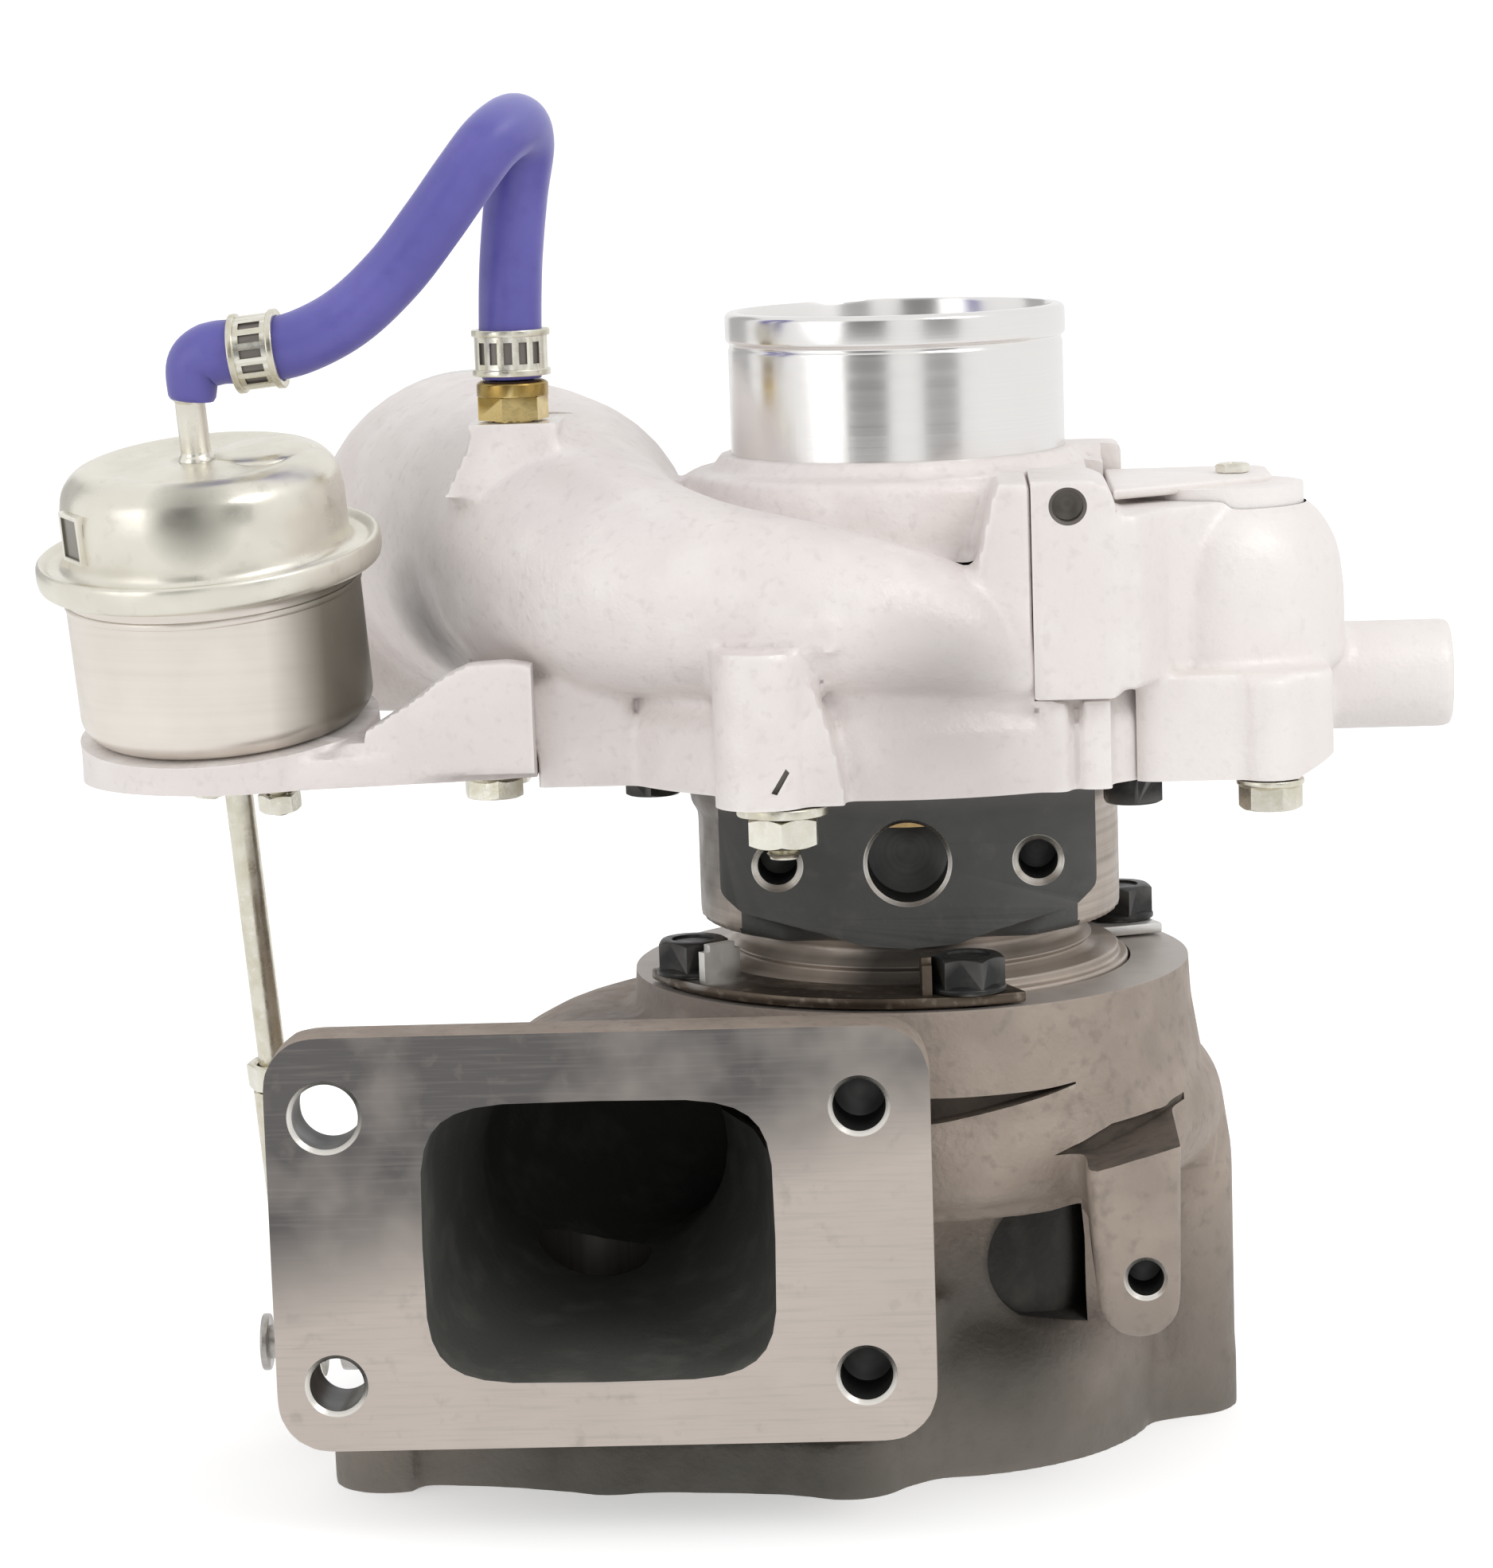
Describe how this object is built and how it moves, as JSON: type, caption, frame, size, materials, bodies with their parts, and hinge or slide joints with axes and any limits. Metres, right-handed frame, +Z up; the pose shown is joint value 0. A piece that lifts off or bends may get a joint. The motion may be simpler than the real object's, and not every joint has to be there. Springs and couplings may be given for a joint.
{
  "type": "turbocharger",
  "caption": "Exhaust turbocharger with a square inlet flange, a coupled boost actuator and wastegate, a bypass valve, a signal hose and a spinning rotor",
  "frame": {"origin": "the middle of the whole object's outline, on the plane of the turbine outlet flange that it stands on", "axes": "+Z runs up the shaft from the turbine to the compressor inlet, -Y is the way the exhaust inlet flange faces, and +X is the way the bypass valve's nozzle points"},
  "size_m": [0.2076, 0.1198, 0.2046],
  "materials": {
    "turbine_iron": "rough sand-cast iron, flange faces ground",
    "bearing_iron": "dark cast iron with a machined oil face",
    "cast_aluminium": "pale sand-cast aluminium, machined rims and faces",
    "zinc": "zinc-plated steel with a faint yellow tint",
    "black_steel": "black oxide",
    "steel": "bare turned steel",
    "wheel_aluminium": "machined alloy",
    "bronze": "bearing bronze",
    "brass": "bright machined brass",
    "hose_rubber": "smooth blue silicone rubber",
    "rubber": "black rubber",
    "valve_plastic": "glass-filled black plastic"
  },
  "bodies": {
    "housing": {"turbine_housing": "turbine_iron", "bearing_housing": "bearing_iron", "backplate": "cast_aluminium", "compressor_cover": "cast_aluminium", "actuator_bracket": "cast_aluminium", "bypass_housing": "cast_aluminium", "bypass_lid": "cast_aluminium", "clamp_plate_right": "zinc", "clamp_plate_left": "zinc", "cover_stud": "zinc", "cover_stud_washer": "zinc", "cover_stud_nut": "zinc", "bracket_bolt_1": "zinc", "bracket_bolt_2": "zinc", "actuator_lower_can": "zinc", "actuator_upper_can": "zinc", "actuator_nut_1": "zinc", "actuator_nut_2": "zinc", "bypass_bolt": "zinc", "hose_clamp_fitting": "zinc", "hose_clamp_actuator": "zinc", "bypass_lid_screw": "zinc", "turbine_bolt_1": "black_steel", "turbine_bolt_2": "black_steel", "turbine_bolt_3": "black_steel", "turbine_bolt_4": "black_steel", "cover_bolt_1": "black_steel", "cover_bolt_2": "black_steel", "cover_bolt_3": "black_steel", "cover_bolt_4": "black_steel", "heat_shield": "steel", "turbine_seal_ring": "steel", "compressor_seal_ring": "steel", "bearing_spacer": "steel", "oil_deflector": "steel", "actuator_spring": "steel", "wastegate_bush": "steel", "bypass_spring": "steel", "thrust_bearing": "bronze", "brass_fitting": "brass", "hose": "hose_rubber", "backplate_seal": "rubber", "actuator_diaphragm": "rubber", "rod_guide": "valve_plastic"},
    "rotor": {"turbine_wheel_shaft": "steel", "compressor_wheel": "wheel_aluminium", "shaft_nut": "steel", "thrust_collar": "steel"},
    "actuator_rod_body": {"actuator_rod": "zinc", "actuator_piston_cup": "steel", "rod_lock_nut": "zinc", "rod_end": "zinc"},
    "wastegate": {"wastegate_flap": "steel", "wastegate_spindle": "steel", "wastegate_lever": "steel", "lever_pin": "steel"},
    "bypass_valve": {"bypass_piston": "valve_plastic"},
    "turbine_float": {"turbine_journal_bearing": "bronze"},
    "compressor_float": {"compressor_journal_bearing": "bronze"}
  },
  "joints": [
    {"name": "rotor_spin", "type": "hinge", "parent": "housing", "child": "rotor", "pos_m": [0.02276, 0.00006, 0.09], "axis": [0, 0, 1], "continuous": true},
    {"name": "turbine_bearing_float", "type": "hinge", "parent": "housing", "child": "turbine_float", "pos_m": [0.02276, 0.00006, 0.0725], "axis": [0, 0, 1], "continuous": true},
    {"name": "compressor_bearing_float", "type": "hinge", "parent": "housing", "child": "compressor_float", "pos_m": [0.02276, 0.00006, 0.092], "axis": [0, 0, 1], "continuous": true},
    {"name": "actuator_stroke", "type": "slide", "parent": "housing", "child": "actuator_rod_body", "axis": [0.05, 0.1501, -0.9874], "range_m": [0, 0.009], "stiffness_N_per_m": 6000, "springref_m": -0.006, "deforming": ["actuator_spring", "actuator_diaphragm"]},
    {"name": "wastegate_turn", "type": "hinge", "parent": "housing", "child": "wastegate", "pos_m": [-0.06344, 0.02006, 0.013], "axis": [1, 0, 0], "range_deg": [0, 24]},
    {"name": "bypass_lift", "type": "slide", "parent": "housing", "child": "bypass_valve", "axis": [0, 0, 1], "range_m": [0, 0.008], "stiffness_N_per_m": 1500, "springref_m": -0.006, "deforming": ["bypass_spring"]}
  ],
  "couplings": [
    {"joint": "wastegate_turn", "follows": "actuator_stroke", "rad_per_m": 45.864},
    {"joint": "turbine_bearing_float", "follows": "rotor_spin", "ratio": 0.3},
    {"joint": "compressor_bearing_float", "follows": "rotor_spin", "ratio": 0.3}
  ]
}
